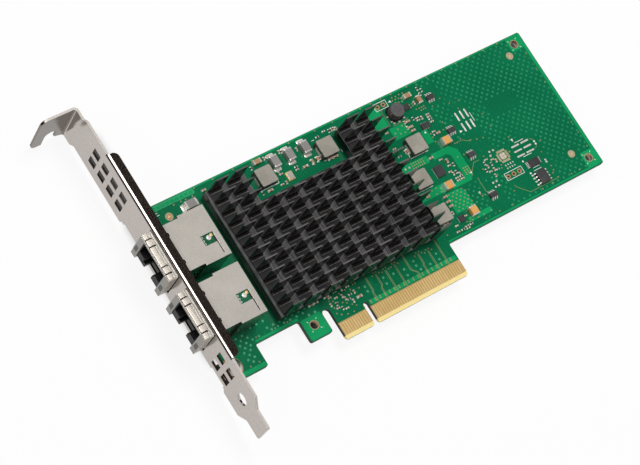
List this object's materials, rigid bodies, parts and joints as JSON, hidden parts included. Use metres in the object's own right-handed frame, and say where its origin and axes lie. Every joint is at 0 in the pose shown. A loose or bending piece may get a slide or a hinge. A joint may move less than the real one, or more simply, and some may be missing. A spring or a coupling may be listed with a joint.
{
  "type": "network interface card",
  "caption": "Server network card: green board with gold edge connector, folded slot bracket, shielded network jacks and a black cross-cut heat sink over its controller.",
  "frame": {"origin": "foot of the edge connector's key notch, in the middle of the board's thickness", "axes": "+X along the board away from the bracket, +Y from the connector up to the top edge, +Z out of the component face"},
  "size_m": [0.1827, 0.1208, 0.022],
  "materials": {
    "solder_mask": "glossy green solder mask over glass laminate",
    "gold_plate": "bright gold plating",
    "bracket_steel": "satin plated sheet steel",
    "screw_steel": "bright plated steel",
    "shield_metal": "satin tin-plated sheet",
    "black_plastic": "fine matt moulding",
    "dark_lens": "dark clear plastic",
    "black_anodised": "black anodised, finely drawn",
    "grey_pad": "soft filled silicone",
    "package_laminate": "green laminate",
    "polished_die": "polished dark silicon",
    "coil_compound": "pressed iron powder, speckled",
    "dark_ferrite": "sintered ferrite",
    "copper_wire": "enamelled copper",
    "solder_tin": "bright tin",
    "tan_ceramic": "tan fired ceramic",
    "amber_plastic": "amber moulding"
  },
  "bodies": {
    "root": {"circuit_board": "solder_mask", "lower_jack_inner_board": "solder_mask", "upper_jack_inner_board": "solder_mask", "edge_contacts_front": "gold_plate", "edge_contacts_back": "gold_plate", "lower_jack_wires": "gold_plate", "upper_jack_wires": "gold_plate", "crystal_tray": "gold_plate", "bracket": "bracket_steel", "bracket_screws": "screw_steel", "heat_sink_screws": "screw_steel", "lower_jack_shield": "shield_metal", "upper_jack_shield": "shield_metal", "lower_jack_collar": "shield_metal", "upper_jack_collar": "shield_metal", "crystal_lid": "shield_metal", "lower_jack_insert": "black_plastic", "upper_jack_insert": "black_plastic", "regulator_chips": "black_plastic", "memory_chip": "black_plastic", "flat_chips": "black_plastic", "drum_coil_base": "black_plastic", "lower_jack_lights": "dark_lens", "upper_jack_lights": "dark_lens", "heat_sink": "black_anodised", "thermal_pad": "grey_pad", "controller_package": "package_laminate", "controller_die": "polished_die", "power_coil_1": "coil_compound", "power_coil_2": "coil_compound", "power_coil_3": "coil_compound", "power_coil_4": "coil_compound", "power_coil_5": "coil_compound", "drum_coil_spool": "dark_ferrite", "ferrite_beads": "dark_ferrite", "drum_coil_winding": "copper_wire", "power_coil_feet": "solder_tin", "ferrite_bead_caps": "solder_tin", "chip_capacitors_ends": "solder_tin", "large_capacitors_ends": "solder_tin", "tantalum_capacitors_ends": "solder_tin", "regulator_chip_leads": "solder_tin", "memory_chip_leads": "solder_tin", "chip_capacitors": "tan_ceramic", "large_capacitors": "tan_ceramic", "tantalum_capacitors": "amber_plastic"}
  },
  "joints": []
}
